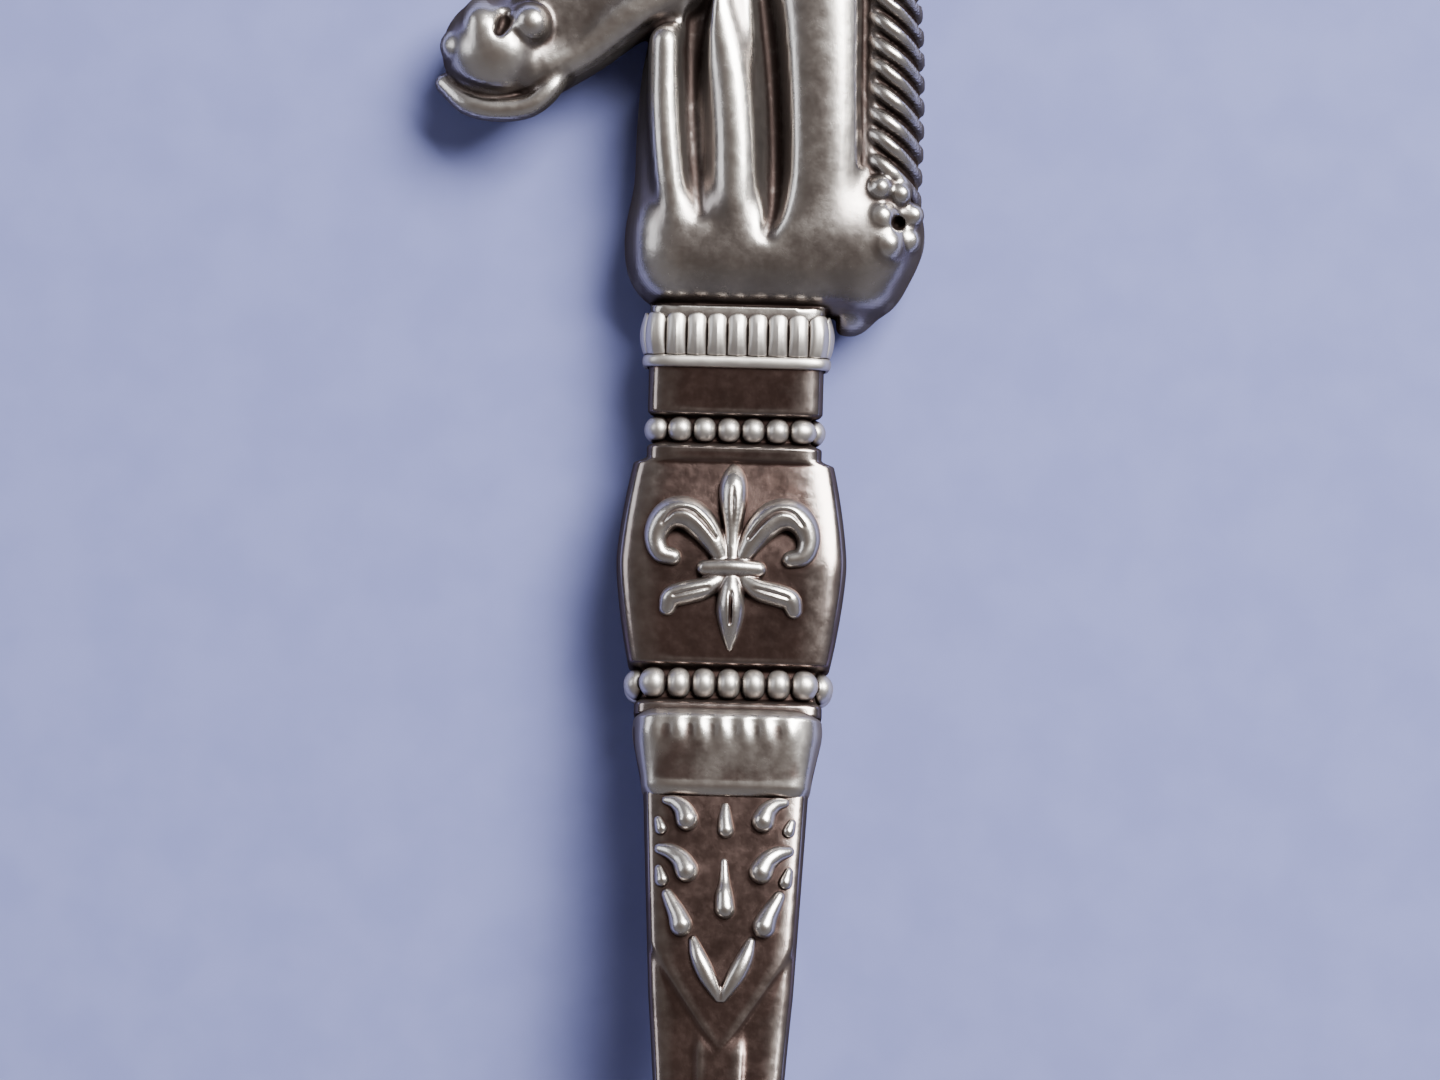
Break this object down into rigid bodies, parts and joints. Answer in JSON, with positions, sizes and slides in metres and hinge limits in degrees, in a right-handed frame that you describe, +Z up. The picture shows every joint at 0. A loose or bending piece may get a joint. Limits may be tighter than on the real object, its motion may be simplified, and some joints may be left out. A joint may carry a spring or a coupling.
{
  "type": "souvenir spoon",
  "caption": "Souvenir spoon with a horse-head finial, a leaf collar, beaded wires and a fleur-de-lis on its handle, and an egg-shaped bowl.",
  "frame": {"origin": "on the table, under the middle of the spoon's box as it lies face up", "axes": "+Y along the handle towards the horse's ears, +Z up out of the spoon's front, +X to the right seen from the front"},
  "size_m": [0.029, 0.1378, 0.0107],
  "materials": {
    "antique_silver": "polished silver-coloured plate with dark tarnish left in the recesses",
    "brass": "plain drawn wire, hidden inside"
  },
  "bodies": {
    "root": {"horse_head": "antique_silver", "figure_peg": "brass", "leaf_collar": "antique_silver", "handle_stem": "antique_silver", "upper_beaded_wire": "antique_silver", "fleur_de_lis": "antique_silver", "lower_beaded_wire": "antique_silver", "cushion_moulding": "antique_silver", "pendant_drop": "antique_silver", "bowl": "antique_silver"}
  },
  "joints": []
}
